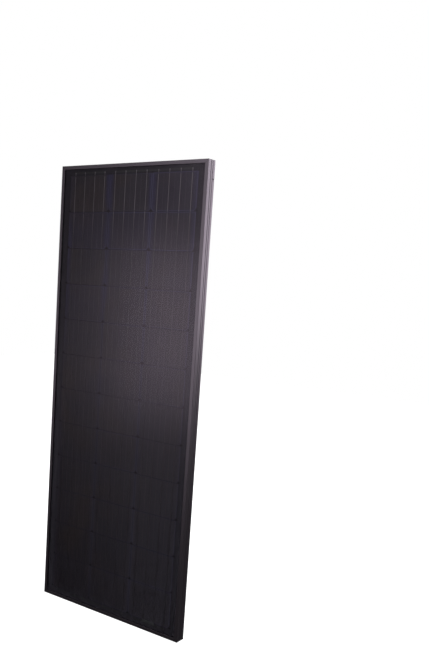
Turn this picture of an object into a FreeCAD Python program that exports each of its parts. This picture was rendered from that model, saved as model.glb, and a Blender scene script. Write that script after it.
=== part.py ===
import FreeCAD, Part
import os
from math import cos, pi, sin, sqrt

# A framed solar panel, standing upright on one short side. Millimetres.
# +Z runs up along the panel's length, the glass faces -Y, and +X is to the right of someone who
# faces the glass. The origin is at the bottom centre of the whole panel.

# Driving dimensions of the panel
WIDTH = 541.0
LENGTH = 1385.0
DEPTH = 35.0

# Frame section: a rail seen end on, with u running inwards from the outer wall
WALL = 1.8
LIP = 11.0
LIP_THICKNESS = 1.5
SLOT_FLOOR = 7.0          # depth from the front at which the laminate's slot ends
CHAMBER_DEPTH = 21.5      # depth at which the corner key's chamber ends
THIN = 1.4                # inner walls of the rail
FLANGE = 28.0
FLANGE_THICKNESS = 1.6
EDGE_BREAK = 0.6
GROOVE_STARTS = (13.0, 21.6)
GROOVE_WIDTH = 3.0
GROOVE_CUT = 0.8

# Holes in the frame
SLOT_RADIUS = 4.5         # 9 x 14 mm mounting slots
SLOT_LENGTH = 14.0
SLOT_SPACING = 900.0
HOLE_RADIUS = 3.5         # 7 mm mounting holes
HOLE_SPACING = 400.0
HOLE_INSET = 14.0         # from the panel's outer wall to the middle of the flange's holes
EARTH_RADIUS = 2.1
EARTH_HEIGHT = 560.0
DRAIN_RADIUS = 2.0
DRAIN_LENGTH = 10.0
DRAIN_OFFSET = 190.0
WALL_HOLE_RADIUS = 2.5
WALL_HOLE_DEPTH = 28.5
WALL_HOLE_FROM_END = 52.0

# Corner keys
KEY_CLEARANCE = 0.2
KEY_LEG = 34.0

# Laminate, as depths from the panel's front
GLASS_FRONT = 1.95
GLASS = 3.2
GLASS_BACK = GLASS_FRONT + GLASS
CELL = 0.2
CELL_FRONT = GLASS_BACK + 0.45
CELL_BACK = CELL_FRONT + CELL
SHEET_FRONT = CELL_BACK + 0.45
SHEET_BACK = SHEET_FRONT + 0.3
LAMINATE_INSET = 3.0
SEAL_REACH = 10.0

# Cells
COLUMNS = 3
ROWS = 12
CELL_WIDTH = 156.0
CELL_HEIGHT = 108.0
CELL_GAP = 2.5
WAFER_RADIUS = 105.0      # of the round ingot that the wafers are cut from
COLUMN_PITCH = CELL_WIDTH + CELL_GAP
ROW_PITCH = CELL_HEIGHT + CELL_GAP
LOWEST_CELL = (LENGTH - (ROWS - 1) * ROW_PITCH - CELL_HEIGHT) / 2
HIGHEST_CELL = LENGTH - LOWEST_CELL

# Ribbons: flat copper strips soldered to the cells, and the wider strips that join the columns
RIBBONS = 4
RIBBON_SPACING = 39.0
RIBBON_WIDTH = 1.5
RIBBON = 0.2
RIBBON_END = 3.0
TAIL = 10.5
CONNECTOR_WIDTH = 5.0
CONNECTOR_OFFSET = 5.5
LEAD_DEPTH = SHEET_FRONT
LEAD_RUN = 40.0           # from a column's end to the lead's level run
LEAD_HOOK = 9.0           # how far a lead stands up behind the backsheet, at its terminal
BEND_GAP = 0.6            # from a cell's edge to a link ribbon's bend
BEND_LEAN = 0.4           # shift that keeps a link ribbon's thickness along its slope

# Junction box on the back, near the top
BOX_WIDTH = 110.0
BOX_BOTTOM = 1250.0
BOX_TOP = 1340.0
BOX_WALL = 2.0
PAD = 0.8
BOX_FLOOR = SHEET_BACK + PAD
BOX_INSIDE = BOX_FLOOR + BOX_WALL
BOX_RIM = 24.9
RIM_SEAL = 1.1
LID_INSIDE = BOX_RIM + RIM_SEAL
LID = 2.5
LID_CORNER = 3.0          # radius of the lid's lower corners
LID_RIM = (1.0, 2.0)      # clearance to the tray's wall, and width, of the rim inside the lid
LID_RIM_REACH = 1.2
LID_RIM_END = 6.0         # from the lid's upper and lower edges to the rim
TAB_WIDTH = 20.0
TAB_REACH = 5.0
TAB = 1.5
LEAD_SLOT_WIDTH = 88.0
LEAD_SLOT_HEIGHT = 10.0
TERMINAL_TOP = 1293.0     # height of the face that the leads are clamped against
TERMINALS = (-36.0, 0.0, 36.0)
CLIP_WIDTH = 12.0
CLIP_FOOT = (24.0, 1.0)   # length down from the terminal's top, and thickness
CLIP_BLOCK = (18.0, 10.0, 3.4)  # from and to, down from the terminal's top, and height on the foot
CLIP_FIN = 6.0            # height on the foot of the fin that holds the lead
DIODE_RADIUS = 3.5
DIODE_LENGTH = 10.0
DIODE_WIRE = 0.6
WIRE_END = 1.0            # from a terminal's middle to the end of a diode's wire

# Hinge along the top of the junction box
HINGE_DEPTH = 25.6
HINGE_HEIGHT = BOX_TOP + 3.8
HINGES = (-35.0, 35.0)
KNUCKLE_RADIUS = 3.2
PIN_RADIUS = 1.5
PIN_PLAY = 0.1
KNUCKLE_HALF = 3.7
LUG_INNER = 4.0
LUG_OUTER = 7.0

# Cable glands under the junction box
GLANDS = (-26.0, 26.0)
GLAND_DEPTH = 16.5
GLAND_THREAD = 6.0
GLAND_ACROSS = 8.2        # from the middle of a hexagon to its corners
SHOULDER = 4.0
SPIGOT_END = 9.0          # below the junction box
STUB_END = 4.0            # inside the junction box's wall
NUT_GRIP = 7.0
NUT_DOME = 5.0
DOME_RADII = (6.4, 7.1)
NUT_FLOOR = 2.0           # wall below the bushing, at the nut's mouth
MOUTH_RADIUS = 4.2
CABLE_RADIUS = 3.0
GLAND_BORE = CABLE_RADIUS + 0.6

# Labels
LABEL = 0.1
SERIAL_LABEL = (44.0, 9.0)
SERIAL_LABEL_CENTRE = (159.5, 27.5)
RATING_LABEL = (90.0, 60.0)
RATING_LABEL_TOP = BOX_BOTTOM - 60.0

HALF = WIDTH / 2


def row_y(depth):
    """The row's Y for a depth behind the panel's front."""
    return depth - DEPTH / 2


def box(x, depth, z):
    """A block between two x, two depths and two z."""
    corner = FreeCAD.Vector(x[0], row_y(depth[0]), z[0])
    return Part.makeBox(x[1] - x[0], depth[1] - depth[0], z[1] - z[0], corner)


def around(centre, half):
    return (centre - half, centre + half)


def joined(shapes):
    whole = shapes[0].fuse(shapes[1:]) if len(shapes) > 1 else shapes[0]
    return whole.removeSplitter()


def plate(points, depth):
    """A flat outline of (x, z) points, given thickness from one depth to another."""
    wire = Part.makePolygon([FreeCAD.Vector(x, row_y(depth[0]), z) for x, z in points + points[:1]])
    return Part.Face(wire).extrude(FreeCAD.Vector(0, depth[1] - depth[0], 0))


def bar(points, x):
    """An outline of (depth, z) points, given width from one x to another."""
    wire = Part.makePolygon([FreeCAD.Vector(x[0], row_y(d), z) for d, z in points + points[:1]])
    return Part.Face(wire).extrude(FreeCAD.Vector(x[1] - x[0], 0, 0))


def rod(radius, start, way, length):
    """A cylinder from a point (x, depth, z) along a direction."""
    x, depth, z = start
    return Part.makeCylinder(radius, length, FreeCAD.Vector(x, row_y(depth), z), FreeCAD.Vector(*way))


def flange_drill(radius, x, z):
    """A round cutter through the rear flange."""
    return rod(radius, (x, DEPTH - 2 * FLANGE_THICKNESS, z), (0, 1, 0), 3 * FLANGE_THICKNESS)


def slot_cutter(radius, length, x, z, along):
    """A round-ended slot through the rear flange, along "x" or "z"."""
    reach = length / 2 - radius
    dx, dz = (reach, 0) if along == "x" else (0, reach)
    ends = [flange_drill(radius, x + s * dx, z + s * dz) for s in (-1, 1)]
    depth = (DEPTH - 2 * FLANGE_THICKNESS, DEPTH + FLANGE_THICKNESS)
    middle = box(around(x, dx or radius), depth, around(z, dz or radius))
    return joined(ends + [middle])


# Frame


def rail_section():
    """The rail's outline as (u, depth) points, and the outline of its chamber."""
    outer = [(EDGE_BREAK, 0), (LIP - EDGE_BREAK, 0), (LIP, EDGE_BREAK), (LIP, LIP_THICKNESS)]
    outer += [(WALL, LIP_THICKNESS), (WALL, SLOT_FLOOR), (LIP, SLOT_FLOOR), (LIP, CHAMBER_DEPTH)]
    outer += [(WALL, CHAMBER_DEPTH), (WALL, DEPTH - FLANGE_THICKNESS), (FLANGE, DEPTH - FLANGE_THICKNESS)]
    outer += [(FLANGE, DEPTH), (EDGE_BREAK, DEPTH), (0, DEPTH - EDGE_BREAK)]
    for start in reversed(GROOVE_STARTS):
        slope = EDGE_BREAK
        outer += [(0, start + GROOVE_WIDTH), (GROOVE_CUT, start + GROOVE_WIDTH - slope)]
        outer += [(GROOVE_CUT, start + slope), (0, start)]
    outer += [(0, EDGE_BREAK)]
    front, back = SLOT_FLOOR + THIN, CHAMBER_DEPTH - THIN
    chamber = [(WALL, front), (LIP - THIN, front), (LIP - THIN, back), (WALL, back)]
    return outer, chamber


def rail(side):
    """One mitred rail. Its side is "left", "right", "top" or "bottom"."""
    places = {
        "left": (lambda u, d: FreeCAD.Vector(-HALF + u, row_y(d), 0), FreeCAD.Vector(0, 0, LENGTH)),
        "right": (lambda u, d: FreeCAD.Vector(HALF - u, row_y(d), 0), FreeCAD.Vector(0, 0, LENGTH)),
        "bottom": (lambda u, d: FreeCAD.Vector(-HALF, row_y(d), u), FreeCAD.Vector(WIDTH, 0, 0)),
        "top": (lambda u, d: FreeCAD.Vector(-HALF, row_y(d), LENGTH - u), FreeCAD.Vector(WIDTH, 0, 0)),
    }
    place, run = places[side]
    bars = []
    for outline in rail_section():
        points = [place(u, d) for u, d in outline]
        bars.append(Part.Face(Part.makePolygon(points + points[:1])).extrude(run))
    whole = bars[0].cut(bars[1])
    f = FLANGE + 1
    corners = {
        "left": [(-HALF, 0), (-HALF, LENGTH), (-HALF + f, LENGTH - f), (-HALF + f, f)],
        "right": [(HALF, 0), (HALF, LENGTH), (HALF - f, LENGTH - f), (HALF - f, f)],
        "bottom": [(-HALF, 0), (HALF, 0), (HALF - f, f), (-HALF + f, f)],
        "top": [(-HALF, LENGTH), (HALF, LENGTH), (HALF - f, LENGTH - f), (-HALF + f, LENGTH - f)],
    }
    return whole.common(plate(corners[side], (-1, DEPTH + 1)))


def side_rail(side):
    """A long rail, with mounting slots and holes, an earthing hole and a wall hole near each end."""
    sign = -1 if side == "left" else 1
    x = sign * (HALF - HOLE_INSET)
    middle = LENGTH / 2
    cutters = []
    for s in (-1, 1):
        cutters.append(slot_cutter(SLOT_RADIUS, SLOT_LENGTH, x, middle + s * SLOT_SPACING / 2, "z"))
        cutters.append(flange_drill(HOLE_RADIUS, x, middle + s * HOLE_SPACING / 2))
    cutters.append(flange_drill(EARTH_RADIUS, x, EARTH_HEIGHT))
    for z in (WALL_HOLE_FROM_END, LENGTH - WALL_HOLE_FROM_END):
        start = (sign * (HALF + 1), WALL_HOLE_DEPTH, z)
        cutters.append(rod(WALL_HOLE_RADIUS, start, (-sign, 0, 0), 2 * WALL + 1))
    return rail(side).cut(cutters)


def end_rail(side):
    """A short rail, with two drain slots in its flange."""
    z = HOLE_INSET if side == "bottom" else LENGTH - HOLE_INSET
    cutters = [slot_cutter(DRAIN_RADIUS, DRAIN_LENGTH, s * DRAIN_OFFSET, z, "x") for s in (-1, 1)]
    return rail(side).cut(cutters)


def corner_keys():
    """Four L-shaped keys that hold the mitred rails together from inside their chambers."""
    depth = (SLOT_FLOOR + THIN, CHAMBER_DEPTH - THIN)
    near, far = WALL + KEY_CLEARANCE, LIP - THIN - KEY_CLEARANCE
    keys = []
    for sx in (-1, 1):
        for top in (False, True):
            corner = [(near, near), (KEY_LEG, near), (KEY_LEG, far)]
            corner += [(far, far), (far, KEY_LEG), (near, KEY_LEG)]
            keys.append(plate([(sx * (HALF - u), LENGTH - v if top else v) for u, v in corner], depth))
    return Part.makeCompound(keys)


# Laminate


def sheet(depth, inset=LAMINATE_INSET):
    return box((-HALF + inset, HALF - inset), depth, (inset, LENGTH - inset))


def edge_seal():
    """A channel of sealant that wraps the laminate's edge inside the rails' slot."""
    ring = sheet((LIP_THICKNESS, SLOT_FLOOR), WALL)
    ring = ring.cut(sheet((LIP_THICKNESS - 1, SLOT_FLOOR + 1), SEAL_REACH))
    return ring.cut(sheet((GLASS_FRONT, SHEET_BACK)))


def column_x(column):
    """The middle of a column. Columns count from 1 at the left."""
    return (column - (COLUMNS + 1) / 2) * COLUMN_PITCH


def cell_bottom(row):
    """The lower edge of a row. Rows count from 1 at the top."""
    return LOWEST_CELL + (ROWS - row) * ROW_PITCH


def ribbon_xs(column):
    middle = (RIBBONS - 1) / 2
    return [column_x(column) + (i - middle) * RIBBON_SPACING for i in range(RIBBONS)]


def cell(row, column):
    """A wafer with square top corners. Its lower corners are arcs of the round ingot it was cut from."""
    x, z = column_x(column), cell_bottom(row)
    half = CELL_WIDTH / 2
    flat = sqrt(WAFER_RADIUS**2 - half**2)
    diagonal = WAFER_RADIUS / sqrt(2)
    heart = z + half
    y = row_y(CELL_FRONT)

    def point(px, pz):
        return FreeCAD.Vector(x + px, y, pz)

    left_low, right_low = point(-flat, z), point(flat, z)
    left_middle, right_middle = point(-diagonal, heart - diagonal), point(diagonal, heart - diagonal)
    left_high, right_high = point(-half, heart - flat), point(half, heart - flat)
    top_left, top_right = point(-half, z + CELL_HEIGHT), point(half, z + CELL_HEIGHT)
    edges = [
        Part.makeLine(left_low, right_low),
        Part.Arc(right_low, right_middle, right_high).toShape(),
        Part.makeLine(right_high, top_right),
        Part.makeLine(top_right, top_left),
        Part.makeLine(top_left, left_high),
        Part.Arc(left_high, left_middle, left_low).toShape(),
    ]
    return Part.Face(Part.Wire(edges)).extrude(FreeCAD.Vector(0, CELL, 0))


def link_ribbon(x, upper, front_is_upper):
    """A ribbon from the front of one cell to the back of its neighbour, bent in the gap between them."""
    low_edge = cell_bottom(upper)
    top_edge = low_edge - CELL_GAP
    start = low_edge + CELL_HEIGHT - RIBBON_END
    end = top_edge - CELL_HEIGHT + RIBBON_END
    front, back = CELL_FRONT - RIBBON, CELL_BACK
    if not front_is_upper:
        front, back = back, front
    lean = BEND_LEAN if front_is_upper else -BEND_LEAN
    near_bend = (low_edge - BEND_GAP - lean / 2, top_edge + BEND_GAP - lean / 2)
    far_bend = (near_bend[0] + lean, near_bend[1] + lean)
    points = [(front, start), (front, near_bend[0]), (back, near_bend[1]), (back, end)]
    points += [(back + RIBBON, end), (back + RIBBON, far_bend[1]), (front + RIBBON, far_bend[0])]
    points += [(front + RIBBON, start)]
    return bar(points, around(x, RIBBON_WIDTH / 2))


def end_ribbon(x, at_top, on_front):
    """A straight ribbon on the last cell of a column, with a tail that reaches the string connector."""
    z = cell_bottom(1 if at_top else ROWS)
    depth = (CELL_FRONT - RIBBON, CELL_FRONT) if on_front else (CELL_BACK, CELL_BACK + RIBBON)
    if at_top:
        span = (z + RIBBON_END, z + CELL_HEIGHT + TAIL)
    else:
        span = (z - TAIL, z + CELL_HEIGHT - RIBBON_END)
    return box(around(x, RIBBON_WIDTH / 2), depth, span)


def cell_ribbons():
    """All ribbons, four per cell. Columns are wired downwards and upwards in turn."""
    strips = []
    for column in range(1, COLUMNS + 1):
        downwards = column % 2 == 1
        for x in ribbon_xs(column):
            strips.append(end_ribbon(x, True, not downwards))
            strips.append(end_ribbon(x, False, downwards))
            strips += [link_ribbon(x, row, downwards) for row in range(1, ROWS)]
    return Part.makeCompound(strips)


def connector(first, last, at_top):
    """A wide strip across the ribbon tails, between two x."""
    z = HIGHEST_CELL + CONNECTOR_OFFSET if at_top else LOWEST_CELL - CONNECTOR_OFFSET - CONNECTOR_WIDTH
    return box((first, last), (CELL_FRONT, CELL_BACK), (z, z + CONNECTOR_WIDTH))


def string_connectors():
    """Two strips above the cells and two below them, which put the three columns in series."""
    left, middle, right = (ribbon_xs(c) for c in range(1, COLUMNS + 1))
    edge = RIBBON_WIDTH
    return Part.makeCompound([
        connector(left[0] - edge, left[-1] + edge, True),
        connector(middle[0] - edge, right[-1] + edge, True),
        connector(left[0] - edge, middle[-1] + edge, False),
        connector(right[0] - edge, right[-1] + edge, False),
    ])


def output_lead(x, from_x, at_top):
    """A flat strip behind the cells, from a string connector to a terminal of the junction box."""
    depth = (LEAD_DEPTH - RIBBON, LEAD_DEPTH)
    half = CONNECTOR_WIDTH / 2
    foot = TERMINAL_TOP + RIBBON
    hook = box(around(x, half), (LEAD_DEPTH - RIBBON, LEAD_DEPTH + LEAD_HOOK), (TERMINAL_TOP, foot))
    if at_top:
        turn = HIGHEST_CELL - LEAD_RUN
        start = HIGHEST_CELL + CONNECTOR_OFFSET + CONNECTOR_WIDTH
        down = (TERMINAL_TOP, turn)
    else:
        turn = LOWEST_CELL + LEAD_RUN
        start = LOWEST_CELL - CONNECTOR_OFFSET - CONNECTOR_WIDTH
        down = (turn, foot)
    first = box(around(from_x, half), depth, (min(start, turn), max(start, turn)))
    across = box((min(x, from_x) - half, max(x, from_x) + half), depth, around(turn, half))
    strip = box(around(x, half), depth, down)
    tab_z = (start - CONNECTOR_WIDTH, start) if at_top else (start, start + CONNECTOR_WIDTH)
    tab = box(around(from_x, half), (CELL_BACK, LEAD_DEPTH), tab_z)
    return joined([first, across, strip, hook, tab])


def output_leads():
    """Three leads: from the first column, from the join of the last two, and from the last one's foot."""
    left, middle, right = (ribbon_xs(c) for c in range(1, COLUMNS + 1))
    gap = RIBBON_SPACING / 2
    return Part.makeCompound([
        output_lead(TERMINALS[0], left[-1] - gap, True),
        output_lead(TERMINALS[1], middle[1] + gap, True),
        output_lead(TERMINALS[2], right[0] + gap, False),
    ])


def ribbon_lanes():
    """The room that the encapsulant leaves for each line of ribbons."""
    depth = (CELL_FRONT - RIBBON, CELL_BACK + RIBBON)
    span = (LOWEST_CELL - TAIL, HIGHEST_CELL + TAIL)
    xs = [x for c in range(1, COLUMNS + 1) for x in ribbon_xs(c)]
    return [box(around(x, RIBBON_WIDTH / 2), depth, span) for x in xs]


def front_encapsulant():
    return sheet((GLASS_BACK, CELL_FRONT)).cut(ribbon_lanes())


def rear_encapsulant(cells, connectors, leads):
    """The rear sheet, which has flowed up between the cells to meet the front one."""
    solids = [s for shape in cells + [connectors, leads] for s in shape.Solids]
    return sheet((CELL_FRONT, SHEET_FRONT)).cut(ribbon_lanes() + solids)


def lead_opening():
    """The opening that the leads pass through, from the cells' back to the junction box."""
    height = (TERMINAL_TOP, TERMINAL_TOP + LEAD_SLOT_HEIGHT)
    return box(around(0, LEAD_SLOT_WIDTH / 2), (LEAD_DEPTH, BOX_INSIDE), height)


def backsheet():
    return sheet((SHEET_FRONT, SHEET_BACK)).cut(lead_opening())


def labels():
    """Two blank labels: a small strip behind the glass, and a rating plate on the backsheet."""
    x, z = SERIAL_LABEL_CENTRE
    front = CELL_FRONT - RIBBON
    width, height = SERIAL_LABEL
    strip = box(around(x, width / 2), (front - LABEL, front), around(z, height / 2))
    width, height = RATING_LABEL
    span = (RATING_LABEL_TOP - height, RATING_LABEL_TOP)
    back = box(around(0, width / 2), (SHEET_BACK, SHEET_BACK + LABEL), span)
    return Part.makeCompound([strip, back])


# Junction box


def box_adhesive():
    edge = BOX_WALL
    pad = box(around(0, BOX_WIDTH / 2 - edge), (SHEET_BACK, BOX_FLOOR), (BOX_BOTTOM + edge, BOX_TOP - edge))
    return pad.cut(lead_opening())


def hinge_arm(x, depths, z_low, bore):
    """A round knuckle with a straight arm down to the box, bored for the pin."""
    width = x[1] - x[0]
    barrel = rod(KNUCKLE_RADIUS, (x[0], HINGE_DEPTH, HINGE_HEIGHT), (1, 0, 0), width)
    arm = box(x, depths, (z_low, HINGE_HEIGHT))
    hole = rod(bore, (x[0] - 1, HINGE_DEPTH, HINGE_HEIGHT), (1, 0, 0), width + 2)
    return joined([barrel, arm]).cut(hole)


def junction_box_base():
    """An open tray with a slot for the leads, two gland holes and four hinge lugs."""
    half = BOX_WIDTH / 2
    tray = box((-half, half), (BOX_FLOOR, BOX_RIM), (BOX_BOTTOM, BOX_TOP))
    inner = (-half + BOX_WALL, half - BOX_WALL)
    tray = tray.cut(box(inner, (BOX_INSIDE, BOX_RIM + 1), (BOX_BOTTOM + BOX_WALL, BOX_TOP - BOX_WALL)))
    for x in GLANDS:
        start = (x, GLAND_DEPTH, BOX_BOTTOM - 1)
        tray = tray.cut(rod(GLAND_THREAD, start, (0, 0, 1), BOX_WALL + 2))
    tray = tray.cut(lead_opening())
    lugs = []
    arm_depth = (HINGE_DEPTH - KNUCKLE_RADIUS, HINGE_DEPTH - PIN_RADIUS)
    for x in HINGES:
        for side in ((x - LUG_OUTER, x - LUG_INNER), (x + LUG_INNER, x + LUG_OUTER)):
            lugs.append(hinge_arm(side, (arm_depth[0], BOX_RIM), BOX_TOP - BOX_WALL, PIN_RADIUS))
    return joined([tray] + lugs)


def box_rim_seal():
    """A rubber ring on the tray's rim, which the lid closes on."""
    half = BOX_WIDTH / 2
    ring = box((-half, half), (BOX_RIM, LID_INSIDE), (BOX_BOTTOM, BOX_TOP))
    inner = (-half + BOX_WALL, half - BOX_WALL)
    return ring.cut(box(inner, (BOX_RIM - 1, LID_INSIDE + 1), (BOX_BOTTOM + BOX_WALL, BOX_TOP - BOX_WALL)))


def junction_box_lid():
    """A plate with two hinge knuckles at its top and a finger tab at its lower edge."""
    half = BOX_WIDTH / 2
    depth = (LID_INSIDE, LID_INSIDE + LID)
    lid = box((-half, half), depth, (BOX_BOTTOM, BOX_TOP))
    upright = [e for e in lid.Edges if abs(e.BoundBox.YLength - LID) < 0.01]
    lid = lid.makeFillet(LID_CORNER, [e for e in upright if e.BoundBox.ZMax < BOX_BOTTOM + 1])
    play, width = LID_RIM
    outside, end = half - BOX_WALL - play, LID_RIM_END
    rim_depth = (LID_INSIDE - LID_RIM_REACH, LID_INSIDE)
    rim = box(around(0, outside), rim_depth, (BOX_BOTTOM + end, BOX_TOP - end))
    end += width
    rim = rim.cut(box(around(0, outside - width), rim_depth, (BOX_BOTTOM + end, BOX_TOP - end)))
    tab_depth = (depth[1] - TAB, depth[1])
    tab = box(around(0, TAB_WIDTH / 2), tab_depth, (BOX_BOTTOM - TAB_REACH, BOX_BOTTOM))
    bore = PIN_RADIUS + PIN_PLAY
    knuckles = [hinge_arm(around(x, KNUCKLE_HALF), depth, BOX_TOP - 1, bore) for x in HINGES]
    pins = [rod(bore, (x - LUG_OUTER, HINGE_DEPTH, HINGE_HEIGHT), (1, 0, 0), 2 * LUG_OUTER) for x in HINGES]
    return joined([lid, rim, tab] + knuckles).cut(pins)


def hinge_pins():
    length = 2 * LUG_OUTER
    return Part.makeCompound(
        [rod(PIN_RADIUS, (x - LUG_OUTER, HINGE_DEPTH, HINGE_HEIGHT), (1, 0, 0), length) for x in HINGES])


def terminals():
    """Three clips on the box's floor: a foot, a block for the diodes and a fin for the lead."""
    length, thickness = CLIP_FOOT
    low, high, rise = CLIP_BLOCK
    floor = BOX_INSIDE + thickness
    clips = []
    for x in TERMINALS:
        across = around(x, CLIP_WIDTH / 2)
        foot = box(across, (BOX_INSIDE, floor), (TERMINAL_TOP - length, TERMINAL_TOP))
        block = box(across, (floor, floor + rise), (TERMINAL_TOP - low, TERMINAL_TOP - high))
        fin = box(across, (floor, floor + CLIP_FIN), (TERMINAL_TOP - thickness, TERMINAL_TOP))
        clips.append(joined([foot, block, fin]))
    return Part.makeCompound(clips)


def bypass_diodes():
    """Two round diodes, each with a wire along its middle to the blocks at its sides."""
    diodes = []
    low, high, rise = CLIP_BLOCK
    depth = BOX_INSIDE + CLIP_FOOT[1] + rise + DIODE_WIRE
    z = TERMINAL_TOP - (low + high) / 2
    for first, last in zip(TERMINALS, TERMINALS[1:]):
        middle = (first + last) / 2
        body = rod(DIODE_RADIUS, (middle - DIODE_LENGTH / 2, depth, z), (1, 0, 0), DIODE_LENGTH)
        wire = rod(DIODE_WIRE, (first + WIRE_END, depth, z), (1, 0, 0), last - first - 2 * WIRE_END)
        diodes.append(joined([body, wire]))
    return Part.makeCompound(diodes)


def hexagon(x, low, height):
    """A hexagonal prism about a gland's axis, with two corners on the X direction."""
    middle = FreeCAD.Vector(x, row_y(GLAND_DEPTH), low)
    ways = [FreeCAD.Vector(cos(turn), sin(turn), 0) for turn in (pi / 3 * i for i in range(6))]
    corners = [middle + way * GLAND_ACROSS for way in ways]
    return Part.Face(Part.makePolygon(corners + corners[:1])).extrude(FreeCAD.Vector(0, 0, height))


def gland_rod(radius, x, low, high):
    """A cylinder on a gland's axis between two heights."""
    return rod(radius, (x, GLAND_DEPTH, low), (0, 0, 1), high - low)


def cable_glands():
    """Gland bodies: a hexagonal shoulder outside the box, with a threaded stub through its wall."""
    shoulder_low, spigot_low = BOX_BOTTOM - SHOULDER, BOX_BOTTOM - SPIGOT_END
    top = BOX_BOTTOM + BOX_WALL + STUB_END
    glands = []
    for x in GLANDS:
        body = joined([hexagon(x, shoulder_low, SHOULDER), gland_rod(GLAND_THREAD, x, spigot_low, top)])
        glands.append(body.cut(gland_rod(GLAND_BORE, x, spigot_low - 1, top + 1)))
    return Part.makeCompound(glands)


def gland_nuts():
    """Dome nuts, screwed on from below over the gland bodies' spigots."""
    top = BOX_BOTTOM - SHOULDER
    low = top - NUT_GRIP - NUT_DOME
    nuts = []
    for x in GLANDS:
        base = FreeCAD.Vector(x, row_y(GLAND_DEPTH), low)
        dome = Part.makeCone(*DOME_RADII, NUT_DOME, base, FreeCAD.Vector(0, 0, 1))
        nut = joined([hexagon(x, top - NUT_GRIP, NUT_GRIP), dome])
        bore = gland_rod(GLAND_THREAD, x, low + NUT_FLOOR, top + 1)
        nuts.append(nut.cut([bore, gland_rod(MOUTH_RADIUS, x, low - 1, low + NUT_FLOOR + 1)]))
    return Part.makeCompound(nuts)


def gland_seals():
    """Rubber bushings held between the nut and the spigot, bored for the cable."""
    mouth = BOX_BOTTOM - SHOULDER - NUT_GRIP - NUT_DOME
    top = BOX_BOTTOM - SPIGOT_END
    seals = []
    for x in GLANDS:
        bush = gland_rod(GLAND_THREAD, x, mouth + NUT_FLOOR, top)
        nose = gland_rod(MOUTH_RADIUS, x, mouth, mouth + NUT_FLOOR)
        seals.append(joined([bush, nose]).cut(gland_rod(CABLE_RADIUS, x, mouth - 1, top + 1)))
    return Part.makeCompound(seals)


# Every node, written to its own file


def all_nodes():
    nodes = {
        "frame_side_left": side_rail("left"),
        "frame_side_right": side_rail("right"),
        "frame_end_top": end_rail("top"),
        "frame_end_bottom": end_rail("bottom"),
        "corner_keys": corner_keys(),
        "edge_seal": edge_seal(),
        "front_glass": sheet((GLASS_FRONT, GLASS_BACK)),
        "front_encapsulant": front_encapsulant(),
        "cell_ribbons": cell_ribbons(),
        "string_connectors": string_connectors(),
        "output_leads": output_leads(),
        "backsheet": backsheet(),
        "labels": labels(),
        "box_adhesive": box_adhesive(),
        "junction_box_base": junction_box_base(),
        "box_rim_seal": box_rim_seal(),
        "junction_box_lid": junction_box_lid(),
        "hinge_pins": hinge_pins(),
        "terminals": terminals(),
        "bypass_diodes": bypass_diodes(),
        "cable_glands": cable_glands(),
        "gland_nuts": gland_nuts(),
        "gland_seals": gland_seals(),
    }
    cells = {}
    for row in range(1, ROWS + 1):
        for column in range(1, COLUMNS + 1):
            cells[f"cell_row{row:02d}_col{column}"] = cell(row, column)
    nodes["rear_encapsulant"] = rear_encapsulant(
        list(cells.values()), nodes["string_connectors"], nodes["output_leads"])
    nodes["front_encapsulant"] = nodes["front_encapsulant"].cut(nodes["labels"].Solids[0])
    nodes.update(cells)
    return nodes


os.makedirs("parts", exist_ok=True)
for name, shape in all_nodes().items():
    shape.exportStep(f"parts/{name}.step")
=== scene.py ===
"""Looks for a framed solar panel: a glass pane, dark silicon cells with their printed lines and ribbons,
a black anodised frame, and on the back a film, a rating plate and a junction box with a hinged lid."""

import bpy
import numpy as np
from bpy.props import FloatProperty, FloatVectorProperty, PointerProperty
from mathutils import Matrix, Vector


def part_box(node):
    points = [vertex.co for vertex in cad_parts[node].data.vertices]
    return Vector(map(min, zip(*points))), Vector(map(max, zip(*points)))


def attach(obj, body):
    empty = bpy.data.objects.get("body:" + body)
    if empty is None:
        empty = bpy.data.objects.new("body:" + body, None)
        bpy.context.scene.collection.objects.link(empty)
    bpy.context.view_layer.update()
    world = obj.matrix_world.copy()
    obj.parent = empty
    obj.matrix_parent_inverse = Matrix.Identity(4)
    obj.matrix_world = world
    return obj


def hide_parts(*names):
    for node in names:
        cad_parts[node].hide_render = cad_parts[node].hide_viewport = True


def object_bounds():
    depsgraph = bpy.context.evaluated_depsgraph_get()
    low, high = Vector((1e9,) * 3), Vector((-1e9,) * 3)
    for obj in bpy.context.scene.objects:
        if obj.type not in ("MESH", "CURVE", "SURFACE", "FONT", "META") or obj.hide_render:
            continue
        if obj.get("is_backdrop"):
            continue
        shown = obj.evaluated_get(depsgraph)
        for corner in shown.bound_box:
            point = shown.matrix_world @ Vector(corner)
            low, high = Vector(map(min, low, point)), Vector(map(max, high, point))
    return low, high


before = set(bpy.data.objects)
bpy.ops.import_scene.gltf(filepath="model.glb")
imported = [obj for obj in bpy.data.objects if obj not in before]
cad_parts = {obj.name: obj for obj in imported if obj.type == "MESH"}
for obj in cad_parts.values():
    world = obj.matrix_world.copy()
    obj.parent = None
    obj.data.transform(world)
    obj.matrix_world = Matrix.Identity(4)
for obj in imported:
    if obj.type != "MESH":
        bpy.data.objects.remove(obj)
cad_low, cad_high = (Vector(corner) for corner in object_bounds())

bl_info = {
    "name": "Solar Panel",
    "version": (1, 0, 0),
    "blender": (4, 5, 0),
    "location": "3D View > Sidebar > Solar Panel",
    "description": "Dresses a framed solar panel and sets up its studio",
    "category": "Object",
}

MM = 0.001
# The panel stands on z = 0, centred on x = 0, with its glass towards -y.
HALF_WIDTH, FRONT, BACK, HEIGHT = cad_high.x, cad_low.y, cad_high.y, cad_high.z
ROWS, COLUMNS = 12, 3

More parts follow.
